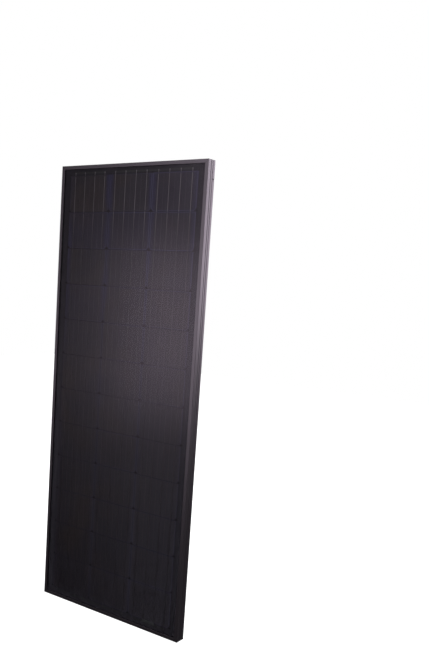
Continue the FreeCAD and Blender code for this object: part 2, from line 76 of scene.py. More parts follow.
# The lowest cell of the middle column is the pattern's first: the others are whole pitches away from it.
cell_low, cell_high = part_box("cell_row12_col2")
CELL_WIDTH, CELL_HEIGHT = cell_high.x - cell_low.x, cell_high.z - cell_low.z
CELL_FRONT, CELL_BOTTOM = cell_low.y, cell_low.z
COLUMN_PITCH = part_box("cell_row12_col3")[0].x - cell_low.x
ROW_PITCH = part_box("cell_row11_col2")[0].z - cell_low.z
WAFER_RADIUS = 105 * MM  # of the round ingot that the wafers are cut from
LIP = 11 * MM  # from the panel's outer wall to the edge of the glass that shows
FLANGE = 28 * MM  # width of the rails' rear flange
SUNK = 0.05 * MM  # how far an added piece's foot is let into what it stands on


# Shader writing


class Value:
    """One output of a material's nodes. Sums written with it add the Math nodes that work them out."""

    def __init__(self, finish, socket):
        self.finish, self.socket = finish, socket

    def math(self, operation, *others):
        return self.finish.math(operation, self, *others)

    def __add__(self, other):
        return self.math("ADD", other)

    def __sub__(self, other):
        return self.math("SUBTRACT", other)

    def __rsub__(self, other):
        return self.finish.math("SUBTRACT", other, self)

    def __mul__(self, other):
        return self.math("MULTIPLY", other)

    def __truediv__(self, other):
        return self.math("DIVIDE", other)

    def __abs__(self):
        return self.math("ABSOLUTE")

    __radd__, __rmul__ = __add__, __mul__

    def fraction(self):
        return self.math("FRACT")

    def whole(self):
        return self.math("FLOOR")

    def lower(self, other):
        return self.math("MINIMUM", other)

    def higher(self, other):
        return self.math("MAXIMUM", other)

    def rise(self, low, high):
        """0 below low, 1 above high, and smooth between."""
        spread = {"interpolation_type": "SMOOTHSTEP"}
        sockets = {"Value": self, "From Min": low, "From Max": high}
        return self.finish.value(self.finish.node("ShaderNodeMapRange", spread, sockets))

    def fall(self, low, high):
        """1 below low, 0 above high, and smooth between."""
        return 1 - self.rise(low, high)


class Finish:
    """A material. self.skin is its Principled shader, and the methods add the nodes that feed it."""

    def __init__(self, name, plain=None):
        self.material = bpy.data.materials.new(name)
        self.material.use_nodes = True
        self.tree = self.material.node_tree
        self.tree.nodes.clear()
        self.skin = self.node("ShaderNodeBsdfPrincipled", sockets=plain)
        self.output = self.node("ShaderNodeOutputMaterial", sockets={"Surface": self.skin.outputs[0]})

    def node(self, kind, settings=None, sockets=None):
        """A node of that kind. Its settings are set first, and then the values or links of its sockets."""
        node = self.tree.nodes.new(kind)
        for key, value in (settings or {}).items():
            setattr(node, key, value)
        for key, value in (sockets or {}).items():
            self.feed(node.inputs[key], value)
        return node

    def feed(self, socket, value):
        """Links a value or a socket, or sets a number or colour."""
        value = value.socket if isinstance(value, Value) else value
        if isinstance(value, bpy.types.NodeSocket):
            self.tree.links.new(value, socket)
        else:
            socket.default_value = value

    def value(self, node, output=0):
        return Value(self, node.outputs[output])

    def math(self, operation, *operands):
        sockets = dict(enumerate(operands))
        return self.value(self.node("ShaderNodeMath", {"operation": operation}, sockets))

    def place(self):
        """The object's own x, y and z, in metres."""
        self.where = self.node("ShaderNodeTexCoord").outputs["Object"]
        split = self.node("ShaderNodeSeparateXYZ", sockets={"Vector": self.where})
        return [self.value(split, i) for i in range(3)]

    def noise(self, size, detail=2.0, soft=0.5):
        """Noise from 0 to 1 whose lumps have that size in metres, or those sizes along x, y and z."""
        sizes = size if isinstance(size, tuple) else (size, size, size)
        scale = tuple(1 / s for s in sizes)
        spot = self.node("ShaderNodeMapping", sockets={"Vector": self.where, "Scale": scale})
        sockets = {"Vector": spot.outputs[0], "Scale": 1.0, "Detail": detail, "Roughness": soft}
        return self.value(self.node("ShaderNodeTexNoise", sockets=sockets))

    def mix(self, amount, first, second):
        """The first colour where amount is 0, and the second where it is 1."""
        node = self.node("ShaderNodeMix", {"data_type": "RGBA"}, {0: amount, 6: first, 7: second})
        return node.outputs[2]

    def relief(self, height, depth):
        """Bumps the skin by a height from 0 to 1, which stands for that depth in metres. It gives the
        normal that it made."""
        bump = self.node("ShaderNodeBump", sockets={"Height": height, "Distance": depth, "Strength": 1.0})
        self.feed(self.skin.inputs["Normal"], bump.outputs[0])
        return bump.outputs[0]

    def wear(self, **sockets):
        """Feeds sockets of the skin, such as Base_Color, and gives the material."""
        for key, value in sockets.items():
            self.feed(self.skin.inputs[key.replace("_", " ")], value)
        return self.material


def rgba(colour):
    """The colour with full cover."""
    return (*colour, 1.0)


def shade(colour, factor):
    """The colour times a factor, with full cover."""
    return rgba([part * factor for part in colour])


# Mesh making


def piece(name, points, faces, material, body="panel", slot=None, stands_for=(), smooth=False):
    """A new piece from an array of points and lists of corner numbers, riding on a body."""
    mesh = bpy.data.meshes.new(name)
    mesh.from_pydata(np.asarray(points).reshape(-1, 3).tolist(), [], [list(map(int, f)) for f in faces])
    mesh.materials.append(material)
    mesh.polygons.foreach_set("use_smooth", np.full(len(mesh.polygons), smooth))
    mesh.update()
    made = bpy.data.objects.new(name, mesh)
    bpy.context.scene.collection.objects.link(made)
    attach(made, body)
    if stands_for:
        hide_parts(*stands_for)
    return made


def grid_faces(rows, columns):
    """Faces of a surface whose points are numbered row by row, closed both ways, as on a ring."""
    row, column = np.meshgrid(np.arange(rows), np.arange(columns), indexing="ij")
    below, right = (row + 1) % rows, (column + 1) % columns
    here, under = row * columns, below * columns
    corners = [here + column, here + right, under + right, under + column]
    return np.stack(corners, axis=-1).reshape(-1, 4)


def rounded_loop(centre, half_width, half_height, radius):
    """Points (x, z) and outward directions round a rectangle with round corners. Each corner is a
    quarter circle about a point one radius in from both sides."""
    steps = 6
    turn = np.linspace(0, np.pi / 2, steps)
    turns = np.concatenate([turn + quarter * np.pi / 2 for quarter in range(4)])
    out = np.stack([np.cos(turns), np.sin(turns)], axis=1)
    sign_x = np.repeat([1, -1, -1, 1], steps)
    sign_z = np.repeat([1, 1, -1, -1], steps)
    heart = np.stack([sign_x * (half_width - radius), sign_z * (half_height - radius)], axis=1)
    return np.asarray(centre) + heart + radius * out, out


def ring(loop, out, profile):
    """A closed profile of (outwards, y) points carried round a loop: each point is the loop's point
    moved along its outward direction by the first, at the depth given by the second."""
    profile = np.asarray(profile)
    flat = loop[:, None, :] + out[:, None, :] * profile[None, :, :1]
    depth = np.broadcast_to(profile[None, :, 1:], (*flat.shape[:2], 1))
    points = np.concatenate([flat[..., :1], depth, flat[..., 1:]], axis=-1)
    return points, grid_faces(len(loop), len(profile))


def blocks(low, high):
    """Closed boxes from two arrays of opposite corners: the eight corners of each are every mix of
    its low and high x, y and z."""
    low, high = np.asarray(low, float), np.asarray(high, float)
    pick = np.array([[i >> 2 & 1, i >> 1 & 1, i & 1] for i in range(8)])
    points = low[:, None] * (1 - pick) + high[:, None] * pick
    sides = np.array([[0, 1, 3, 2], [4, 6, 7, 5], [0, 4, 5, 1], [2, 3, 7, 6], [0, 2, 6, 4], [1, 5, 7, 3]])
    faces = (np.arange(len(low)) * 8)[:, None, None] + sides
    return points, faces.reshape(-1, 4)


def slab(loop, out, stops):
    """A plate with shaped edges: the loop moved outwards and to a depth at each stop, with both ends
    filled by one flat face."""
    points, faces = ring(loop, out, stops)
    count, layers = len(loop), len(stops)
    faces = faces.reshape(count, layers, 4)[:, : layers - 1].reshape(-1, 4).tolist()
    start = np.arange(count) * layers
    return points, faces + [start.tolist(), (start + layers - 1)[::-1].tolist()]


def column_middles():
    """The x of the middle of each column of cells, as a column of numbers."""
    return (np.arange(COLUMNS) - (COLUMNS - 1) / 2)[:, None] * COLUMN_PITCH


def pebbles(centres, half, power=0.35):
    """Closed rounded blocks about many centres. One is a superellipsoid: with u round the z axis and v
    from pole to pole, x = a C(v) C(u), y = b C(v) S(u) and z = c S(v), where C and S are the cosine
    and the sine raised to a power. The smaller the power, the squarer the block."""

    def raised(wave):
        return np.sign(wave) * np.abs(wave) ** power

    turns, layers = 8, 5
    u = np.linspace(0, 2 * np.pi, turns, endpoint=False) + np.pi / turns
    v = np.linspace(-np.pi / 2, np.pi / 2, layers + 2)[1:-1, None]
    reach = raised(np.cos(v))
    rounds = [reach * raised(np.cos(u)), reach * raised(np.sin(u)), raised(np.sin(v)) * np.ones_like(u)]
    side = np.stack(rounds, axis=-1).reshape(-1, 3)
    one = np.concatenate([side, [[0, 0, -1], [0, 0, 1]]]) * np.asarray(half)
    walls = grid_faces(layers, turns).reshape(layers, turns, 4)[:-1].reshape(-1, 4)
    here, ahead = np.arange(turns), (np.arange(turns) + 1) % turns
    last = (layers - 1) * turns
    bottom = np.stack([ahead, here, np.full(turns, layers * turns)], axis=1)
    top = np.stack([last + here, last + ahead, np.full(turns, layers * turns + 1)], axis=1)
    centres = np.asarray(centres, float).reshape(-1, 3)
    points = (centres[:, None] + one).reshape(-1, 3)
    shift = (np.arange(len(centres)) * len(one))[:, None, None]
    parts = [(part + shift).reshape(-1, part.shape[1]) for part in (walls, bottom, top)]
    return points, [face for part in parts for face in part]


# Finishes


def cell_pattern(finish, x, z):
    """How far a point is inside its cell's outline and from its upright sides, in metres, and a random
    number for each cell."""
    column = x / COLUMN_PITCH + 0.5
    row = (z - CELL_BOTTOM) / ROW_PITCH
    across = abs(column.fraction() - 0.5) * COLUMN_PITCH
    up = row.fraction() * ROW_PITCH
    heart = up - CELL_WIDTH / 2
    reach = (across * across + heart * heart).math("SQRT")
    from_side = CELL_WIDTH / 2 - across
    inside = from_side.lower(up).lower(CELL_HEIGHT - up).lower(WAFER_RADIUS - reach)
    spot = finish.node("ShaderNodeCombineXYZ", sockets={"X": column.whole(), "Y": row.whole()})
    dice = finish.node("ShaderNodeTexWhiteNoise", {"noise_dimensions": "2D"}, {"Vector": spot.outputs[0]})
    return inside, from_side, finish.value(dice)


def silicon(looks):
    """Mauve-black coating, a little different from cell to cell, with a very fine etched grain. It is
    bluer towards some upright edges, most of all in the upper rows, and has a painted glow towards the
    panel's lower right, standing in for the floor's reflection. Where it thins it has a paler rim, which
    shows most at the panel's upper right."""
    finish = Finish("silicon", {"Specular Tint": rgba(looks.sheen), "IOR": 1.5})
    x, _, z = finish.place()
    inside, from_side, dice = cell_pattern(finish, x, z)
    cloud = finish.noise(170 * MM, 3.0)
    broad = finish.noise((110 * MM, 110 * MM, 220 * MM), 2.0)
    etch = finish.noise(0.35 * MM, 1.0)
    brown = cloud.rise(0.42, 0.66) * 0.8 + dice * 0.2
    body = finish.mix(brown, rgba(looks.coating), rgba(looks.coating_brown))
    high = z.rise(HEIGHT * 0.5, HEIGHT * 0.9) * 0.85 + 0.15
    blue = from_side.fall(3 * MM, looks.blue_reach) * broad.rise(0.4, 0.6) + dice.rise(0.6, 1.0) * 0.35
    body = finish.mix(blue.lower(1.0) * high, body, rgba(looks.coating_blue))
    # Painted glow: the coating is made paler towards the panel's lower right, in place of the floor's
    # reflection in the glass.
    painted_glow_lower_right = z.fall(HEIGHT * 0.25, HEIGHT * 0.6) * x.rise(-240 * MM, 260 * MM)
    body = finish.mix(painted_glow_lower_right, body, rgba(looks.lower_right_glow))
    rim = from_side.fall(looks.rim_width * 0.6, looks.rim_width) * 0.8
    rim = rim.higher(inside.fall(1.0 * MM, 2.2 * MM) * dice.rise(0.1, 0.8))
    finish.relief(etch, 0.01 * MM)
    rim_shows = rim * (high * 0.7 + 0.3) * (x.rise(-250 * MM, 100 * MM) * 0.75 + 0.25)
    return finish.wear(
        Base_Color=finish.mix(rim_shows, body, rgba(looks.rim)),
        Roughness=0.4 + dice * 0.04 + etch * 0.08 + rim * 0.1,
    )


def printed_silver():
    """Screen-printed silver paste: a chalky grey metal."""
    finish = Finish("printed_silver", {"Metallic": 1.0})
    finish.place()
    grain = finish.noise(0.3 * MM, 1.0)
    return finish.wear(Base_Color=finish.mix(grain, rgba((0.12, 0.105, 0.125)), rgba((0.2, 0.17, 0.2))),
                       Roughness=0.55 + grain * 0.15)


def tinned(name, dark, light, bright=1.0):
    """Dipped tin: drawn flat along its run, with soft ripples and dull patches. Beside the top row of
    cells it has a painted highlight: its light colour times bright."""
    finish = Finish(name, {"Metallic": 1.0})
    _, _, z = finish.place()
    ripple = finish.noise((0.5 * MM, 0.5 * MM, 6 * MM), 3.0)
    patch = finish.noise(25 * MM, 3.0)
    finish.relief(ripple, 0.04 * MM)
    cells_top = HEIGHT - CELL_BOTTOM
    # Painted highlight: beside the top row of cells the tin is made brighter, as if lit from overhead.
    top_row_highlight = z.rise(cells_top - 1.8 * ROW_PITCH, cells_top - 0.7 * ROW_PITCH)
    dull = finish.mix(patch * 0.6 + ripple * 0.4, rgba(dark), rgba(light))
    return finish.wear(Base_Color=finish.mix(top_row_highlight, dull, shade(light, bright)),
                       Roughness=0.45 + patch * 0.2)


def pane_glass(looks):
    """Rolled solar glass. Only its outer face mirrors: its inner face is bonded to the film behind.
    A close pattern of tiny pits spreads the mirror image, and faint roller bands vary it."""
    finish = Finish("pane_glass")
    _, y, _ = finish.place()
    spacing = {"Vector": finish.where, "Scale": 1 / looks.pit_size}
    pits = finish.node("ShaderNodeTexVoronoi", sockets=spacing)
    height = finish.value(pits).lower(1.0)
    roller = finish.noise((400 * MM, 400 * MM, 45 * MM), 2.0)
    smear = finish.noise(130 * MM, 4.0, 0.6)
    normal = finish.relief(height, looks.pit_depth)
    blur = looks.blur + roller * 0.03 + smear * 0.06
    mirror = finish.node("ShaderNodeBsdfGlossy", sockets={
        "Color": rgba(looks.tint), "Roughness": blur, "Normal": normal})
    clear = finish.node("ShaderNodeBsdfTransparent")
    fresnel = finish.value(finish.node("ShaderNodeFresnel", sockets={"IOR": 1.45}))
    outer = y.fall(FRONT + 3.0 * MM, FRONT + 3.4 * MM)  # 1 on the outer face, 0 on the inner one
    mix = finish.node("ShaderNodeMixShader", sockets={
        0: fresnel * outer, 1: clear.outputs[0], 2: mirror.outputs[0]})
    finish.tree.nodes.remove(finish.skin)
    finish.feed(finish.output.inputs["Surface"], mix.outputs[0])
    return finish.material


def anodised(name, run, looks):
    """Black anodised extrusion: draw lines along the rail, a fine etched grain, a hairline where the
    mitred ends meet, and outer edges a little paler, partly from wear and partly a painted highlight."""
    finish = Finish(name, {"Metallic": 1.0})
    x, y, z = finish.place()
    across, along = looks.line_width, 90 * MM
    lines = finish.noise((along, across, across) if run == "x" else (across, across, along), 2.0)
    broad = finish.noise((6 * along, 3 * MM, 3 * MM) if run == "x" else (3 * MM, 3 * MM, 6 * along), 2.0)
    grain = finish.noise(looks.grain, 2.0)
    cloud = finish.noise(180 * MM, 3.0)
    in_from_side = HALF_WIDTH - abs(x)
    in_from_end = z.lower(HEIGHT - z)
    outer = in_from_side.lower(in_from_end)
    depth = (y - FRONT).lower(BACK - y)
    # Outer edges made paler and a little smoother: partly edge wear, partly a painted highlight along the
    # edges.
    wear_and_highlight = outer.higher(depth).fall(0.25 * MM, 0.9 * MM) * cloud.rise(0.35, 0.7)
    seam = abs(in_from_side - in_from_end).fall(0.1 * MM, 0.3 * MM) * outer.fall(FLANGE, FLANGE + MM)
    shine = lines * 0.35 + broad * 0.3 + cloud * 0.35
    body = finish.mix(shine, shade(looks.anodising, 0.75), shade(looks.anodising, 1.25))
    rubbed_and_highlit = finish.mix(wear_and_highlight * 0.6, body, rgba(looks.rubbed_and_highlit))
    finish.relief(lines * 0.5 + grain * 0.5 - seam, 0.02 * MM)
    return finish.wear(
        Base_Color=finish.mix(seam * 0.85, rubbed_and_highlit, rgba((0.004, 0.004, 0.004))),
        Roughness=looks.blur - 0.06 + lines * 0.06 + broad * 0.05 + grain * 0.06 - wear_and_highlight * 0.08,
    )


def mill_aluminium():
    """Bare extruded aluminium, dull, with saw lines."""
    finish = Finish("mill_aluminium", {"Metallic": 1.0})
    finish.place()
    lines = finish.noise((0.3 * MM, 4 * MM, 4 * MM), 2.0)
    finish.relief(lines, 0.03 * MM)
    return finish.wear(Base_Color=finish.mix(lines, rgba((0.5, 0.5, 0.51)), rgba((0.66, 0.66, 0.67))),
                       Roughness=0.4 + lines * 0.15)


def laminated_film(looks):
    """The black film on the back. It is drawn down a little between the cells, so their outlines
    show as soft steps, and it carries a fine embossed grain."""
    finish = Finish("laminated_film", {"IOR": 1.45})
    x, _, z = finish.place()
    inside, _, _ = cell_pattern(finish, x, z)
    ripple = finish.noise(14 * MM, 3.0)
    emboss = finish.noise(0.9 * MM, 2.0)
    cloud = finish.noise(220 * MM, 3.0)
    step = inside.rise(-1.2 * MM, 1.2 * MM)
    finish.relief(step * 0.55 + ripple * 0.3 + emboss * 0.15, 0.25 * MM)
    return finish.wear(
        Base_Color=finish.mix(cloud, rgba(looks.film), shade(looks.film, 1.5)),
        Roughness=0.42 + emboss * 0.12 + cloud * 0.08,
    )


def black_film():
    """Black film seen from the front between the cells, under the glass. It is darkest in the notches
    at the cells' cut corners, palest in the margin round all the cells, and has a painted glow low on the
    panel, in place of the floor's reflection."""
    finish = Finish("black_film", {"Specular Tint": rgba((0.95, 0.82, 1.0)), "IOR": 1.4})
    x, _, z = finish.place()
    weave = finish.noise(0.7 * MM, 2.0)
    past_sides = abs(x) - HALF_WIDTH + CELL_BOTTOM
    past_ends = abs(z - HEIGHT / 2) - HEIGHT / 2 + CELL_BOTTOM
    margin = past_sides.higher(past_ends).rise(-2 * MM, 6 * MM)
    finish.relief(weave, 0.02 * MM)
    inside, _, _ = cell_pattern(finish, x, z)
    notch = inside.fall(-3.2 * MM, -2.0 * MM)
    # Painted glow: the gaps and the margin are made paler low on the panel, in place of the floor's
    # reflection in the glass.
    low = z.fall(HEIGHT * 0.3, HEIGHT * 0.8)
    gap = finish.mix(weave, rgba((0.0058, 0.0052, 0.0076)), rgba((0.0080, 0.0072, 0.0100)))
    gap = finish.mix(low, gap, rgba((0.0170, 0.0165, 0.0215)))
    between = finish.mix(notch, gap, rgba((0.0010, 0.0010, 0.0016)))
    beside = finish.mix(low, rgba((0.0110, 0.0104, 0.0136)), rgba((0.0230, 0.0225, 0.0290)))
    return finish.wear(Base_Color=finish.mix(margin, between, beside),
                       Roughness=0.4 + weave * 0.1 + notch * 0.3)


def moulded(name, colour, grain_size, blur):
    """Moulded black plastic with spark-eroded grain and slight flow marks."""
    finish = Finish(name, {"IOR": 1.5})
    finish.place()
    grain = finish.noise(grain_size, 3.0, 0.6)
    flow = finish.noise((40 * MM, 12 * MM, 25 * MM), 3.0)
    finish.relief(grain, 0.05 * MM)
    return finish.wear(
        Base_Color=finish.mix(flow * 0.7 + grain * 0.3, shade(colour, 0.8), shade(colour, 1.35)),
        Roughness=blur + grain * 0.1 + flow * 0.08,
    )


def steel():
    """Drawn stainless steel wire."""
    finish = Finish("steel", {"Metallic": 1.0})
    finish.place()
    drawn = finish.noise((30 * MM, 0.2 * MM, 0.2 * MM), 2.0)
    finish.relief(drawn, 0.01 * MM)
    return finish.wear(Base_Color=finish.mix(drawn, rgba((0.42, 0.41, 0.40)), rgba((0.6, 0.59, 0.57))),
                       Roughness=0.22 + drawn * 0.15)


def rubbery(name, colour):
    """Soft black sealant or rubber, skinned over smooth, with dust in its low places."""
    finish = Finish(name, {"IOR": 1.42})
    finish.place()
    skin = finish.noise(1.6 * MM, 3.0)
    dust = finish.noise(30 * MM, 3.0)
    finish.relief(skin, 0.08 * MM)
    return finish.wear(Base_Color=finish.mix(dust, rgba(colour), shade(colour, 1.8)),
                       Roughness=0.48 + skin * 0.12 + dust * 0.1)


def blank_label(looks):
    """Printed film with no words. The plate on the back is pale, with a border and ruled lines, and the
    small strip behind the glass is dark and plain."""
    finish = Finish("blank_label", {"IOR": 1.5})
    x, _, z = finish.place()
    plate_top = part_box("labels")[1].z
    plate_half_width, plate_height, rule_pitch = 45 * MM, 60 * MM, 7 * MM
    down = plate_top - z
    rule = abs((down / rule_pitch).fraction() - 0.5).fall(0.03, 0.06)
    margin = (plate_half_width - abs(x)).lower(down).lower(plate_height - down)
    border = abs(margin - 2.5 * MM).fall(0.2 * MM, 0.45 * MM)
    field = margin.rise(4.5 * MM, 4.7 * MM)
    # The strip lies near the panel's foot and the plate near its top, so their heights tell them apart.
    on_plate = z.rise(500 * MM, 600 * MM)
    ink = (rule * field).higher(border) * on_plate
    fibre = finish.noise(2.5 * MM, 3.0)
    plate = finish.mix(fibre, shade(looks.plate, 0.92), shade(looks.plate, 1.08))
    strip = finish.mix(fibre, shade(looks.strip, 0.9), shade(looks.strip, 1.1))
    paper = finish.mix(on_plate, strip, plate)
    finish.relief(fibre, 0.01 * MM)
    return finish.wear(Base_Color=finish.mix(ink * 0.85, paper, rgba((0.03, 0.03, 0.03))),
                       Roughness=0.38 + fibre * 0.12)


def studio_floor(looks):
    """A plain pale sheet that glows evenly."""
    finish = Finish("studio_floor", {"Emission Strength": looks.floor_glow, "Roughness": 1.0})
    finish.place()
    mottle = finish.noise(600 * MM, 2.0)
    tone = finish.mix(mottle, rgba((0.30, 0.30, 0.30)), rgba((0.32, 0.32, 0.32)))
    return finish.wear(Base_Color=tone, Emission_Color=rgba((1.0, 1.0, 1.0)))


def dress(material, *nodes):
    """Gives CAD nodes a material."""
    for name in nodes:
        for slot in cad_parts[name].material_slots:
            slot.material = material


# What a user can change


def size(text, default):
    return FloatProperty(name=text, description=text, default=default, min=0.0, max=1.0, unit="LENGTH",
                         precision=5)


def share(text, default, largest=1.0):
    return FloatProperty(name=text, description=text, default=default, min=0.0, max=largest)


def colour(text, default):
    return FloatVectorProperty(name=text, description=text, default=default, size=3, min=0.0, max=1.0,
                               subtype="COLOR")


def place(text, default):
    return FloatVectorProperty(name=text, description=text, default=default, size=3, subtype="TRANSLATION")


def angle(text, default):
    return FloatProperty(name=text, description=text, default=np.radians(default), subtype="ANGLE")


def power(text, default):
    return FloatProperty(name=text, description=text, default=default, min=0.0, unit="POWER")


class PaneLooks(bpy.types.PropertyGroup):
    """The front glass."""

    tint: colour("Colour of the glass's mirror image", (0.97, 0.80, 0.99))
    blur: share("Roughness of the glass's outer face", 0.20)
    pit_size: size("Distance between the pits rolled into the glass", 1.1 * MM)
    pit_depth: size("Depth of the pits rolled into the glass", 0.01 * MM)


class CellLooks(bpy.types.PropertyGroup):
    """The silicon cells and what is printed on them."""

    coating: colour("Usual colour of the cells' coating", (0.0112, 0.0110, 0.0155))
    coating_brown: colour("Brownest colour of the cells' coating", (0.0190, 0.0140, 0.0105))
    coating_blue: colour("Bluest colour of the cells' coating", (0.0075, 0.0080, 0.0350))
    # Painted glow: a paler coating colour towards the lower right, in place of the floor's reflection.
    lower_right_glow: colour("Colour of the coating towards the panel's lower right", (0.0270, 0.0265, 0.0340))
    sheen: colour("Colour of the coating's mirror image", (0.95, 0.82, 1.0))
    rim: colour("Colour of the cells' rims", (0.050, 0.050, 0.110))
    rim_width: size("Width of the cells' upright rims", 3.5 * MM)
    blue_reach: size("How far the blue reaches in from an upright edge", 20 * MM)
    finger_pitch: size("Distance between the printed lines", 1.8 * MM)
    finger_width: size("Width of a printed line", 0.07 * MM)
    finger_height: size("Height of a printed line", 0.02 * MM)
    upright_width: size("Width of the upright printed lines", 0.5 * MM)
    ribbon_spacing: size("Distance between the ribbons", 39 * MM)
    edge_margin: size("Bare margin between the printed lines and the cell's edge", 1.4 * MM)


class RailLooks(bpy.types.PropertyGroup):
    """The frame's finish."""

    anodising: colour("Colour of the anodised rails", (0.220, 0.187, 0.224))
    # Pale outer edges: partly edge wear, partly a painted highlight.
    rubbed_and_highlit: colour("Colour of rubbed edges", (0.36, 0.32, 0.36))
    blur: share("Roughness of the rails", 0.40)
    line_width: size("Width of the draw lines", 0.35 * MM)
    grain: size("Size of the etched grain", 0.25 * MM)


class BackLooks(bpy.types.PropertyGroup):
    """The film, the labels and the plastic on the back."""

    film: colour("Colour of the back film", (0.0075, 0.0075, 0.0085))
    plate: colour("Colour of the rating plate", (0.26, 0.27, 0.28))
    strip: colour("Colour of the small label under the glass", (0.038, 0.040, 0.043))
    plastic: colour("Colour of the junction box", (0.020, 0.020, 0.0215))
    bead: size("Width of the sealant beads", 3.0 * MM)
    rib_pitch: size("Distance between the ribs on the junction box", 8.0 * MM)


class StudioLooks(bpy.types.PropertyGroup):
    """Camera, lamps and floor."""

    camera: place("Camera's place", (1.4715, -1.8505, 1.042))
    azimuth: angle("Camera's turn to the left of straight ahead", 36.44)
    dip: angle("Camera's tilt below the horizon", 7.41)
    roll: angle("Camera's lean to the left", 3.4)
    lens: FloatProperty(name="Lens", description="Focal length", default=43.8, unit="CAMERA")
    shift_right: share("Camera's shift to the right", 0.1)
    shift_up: share("Camera's shift upwards", 0.097)
    key: power("Lamp close above the top, in front", 2.5)
    band: power("Lamp whose image lies across the glass", 4.7)
    upper: power("Lamp above the last", 2.2)
    side: power("Lamp to the right and behind", 22.0)
    right: power("Lamp beside the panel, which its right wall faces", 9.0)
    left: power("Lamp beside the panel and a little behind it, which its left wall faces", 16.0)
    rear: power("Lamp behind", 75.0)
    ambient: share("How bright the surroundings are", 1.0, 5.0)
    mirrored: share("How bright the surroundings look in a mirror image", 0.035)
    floor_glow: share("Floor's own light", 1.0, 5.0)


# What makes the pieces


class SOLAR_OT_pane(bpy.types.Operator):
    """Make the front glass with ground edges, in place of the plain pane and the clear film behind it"""

    bl_idname, bl_label = "solar.pane", "Front glass"
    bl_options = {"REGISTER", "UNDO"}

    def execute(self, context):
        low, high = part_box("front_glass")
        middle = ((low.x + high.x) / 2, (low.z + high.z) / 2)
        loop, out = rounded_loop(middle, (high.x - low.x) / 2, (high.z - low.z) / 2, 2 * MM)
        edge = 0.5 * MM
        stops = [(-edge, low.y), (0, low.y + edge), (0, high.y - edge), (-edge, high.y)]
        points, faces = slab(loop, out, stops)
        glass = pane_glass(context.scene.solar_pane)
        stands_for = ("front_glass", "front_encapsulant")
        piece("front_pane", points, faces, glass, slot="solar_glass", stands_for=stands_for)
        return {"FINISHED"}


class SOLAR_OT_cells(bpy.types.Operator):
    """Give every cell its coating"""

    bl_idname, bl_label = "solar.cells", "Cells"
    bl_options = {"REGISTER", "UNDO"}

    def execute(self, context):
        places = [(row, column) for row in range(1, ROWS + 1) for column in range(1, COLUMNS + 1)]
        names = [f"cell_row{row:02d}_col{column}" for row, column in places]
        dress(silicon(context.scene.solar_cells), *names)
        return {"FINISHED"}


class SOLAR_OT_fingers(bpy.types.Operator):
    """Print the fine silver lines across every cell, one piece for each row of cells"""

    bl_idname, bl_label = "solar.fingers", "Printed lines"
    bl_options = {"REGISTER", "UNDO"}

    def execute(self, context):
        looks = context.scene.solar_cells
        silver = printed_silver()
        margin = looks.edge_margin
        count = int((CELL_HEIGHT - 2 * margin) / looks.finger_pitch) + 1
        up = np.linspace(margin, CELL_HEIGHT - margin, count)
        # Half a line's length: the cell's half width, or less where the wafer's arc cuts the corner.
        arc = np.sqrt(np.maximum(WAFER_RADIUS**2 - (up - CELL_WIDTH / 2) ** 2, 0))
        reach = np.minimum(CELL_WIDTH / 2, arc) - margin
        half = looks.finger_width / 2
        middle = column_middles()
        level_x = np.stack([middle - reach, middle + reach])
        # A thin upright line halfway between each pair of ribbons ties the level ones together.
        tie = (middle + looks.ribbon_spacing * np.array([-1, 0, 1])).ravel()
        tie_x = np.stack([tie - looks.upright_width / 2, tie + looks.upright_width / 2])
        for row in range(1, ROWS + 1):
            bottom = CELL_BOTTOM + (ROWS - row) * ROW_PITCH
            corners = []
            # The low corners of every line, at its outer face, and then the high ones, on the cell.
            for end, y in enumerate((CELL_FRONT - looks.finger_height, CELL_FRONT)):
                z = np.broadcast_to(bottom + up + (-half, half)[end], level_x[end].shape)
                levels = np.stack([level_x[end], np.full_like(z, y), z], axis=-1).reshape(-1, 3)
                z = np.full_like(tie, bottom + (up[0], up[-1])[end])
                ties = np.stack([tie_x[end], np.full_like(tie, y), z], axis=-1)
                corners.append(np.concatenate([levels, ties]))
            piece(f"printed_lines_row{row:02d}", *blocks(*corners), silver, slot="silicon_cell")
        return {"FINISHED"}


class SOLAR_OT_ribbons(bpy.types.Operator):
    """Finish the ribbons, the connectors and the leads, and add the solder at their crossings"""

    bl_idname, bl_label = "solar.ribbons", "Ribbons"
    bl_options = {"REGISTER", "UNDO"}

    def execute(self, context):
        # bright=2.1 paints a highlight on the ribbons beside the top row of cells.
        tin = tinned("tinned_ribbon", (0.10, 0.090, 0.10), (0.15, 0.135, 0.15), bright=2.1)
        dress(tin, "cell_ribbons", "output_leads")
        dress(moulded("blackened_ribbon", (0.012, 0.012, 0.014), 0.3 * MM, 0.35), "string_connectors")
        dress(tinned("tinned_clip", (0.42, 0.41, 0.38), (0.6, 0.58, 0.54)), "terminals")
        low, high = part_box("string_connectors")
        connector_half = 2.5 * MM
        levels = (low.z + connector_half, high.z - connector_half)
        spacing = context.scene.solar_cells.ribbon_spacing
        x = (column_middles() + spacing * np.array([-1.5, -0.5, 0.5, 1.5])).ravel()
        joints = [(across, low.y, level) for across in x for level in levels]
        half = (1.3 * MM, 0.12 * MM, 2.2 * MM)
        piece("solder_joints", *pebbles(joints, half), tin, slot="tinned_ribbon", smooth=True)
        return {"FINISHED"}


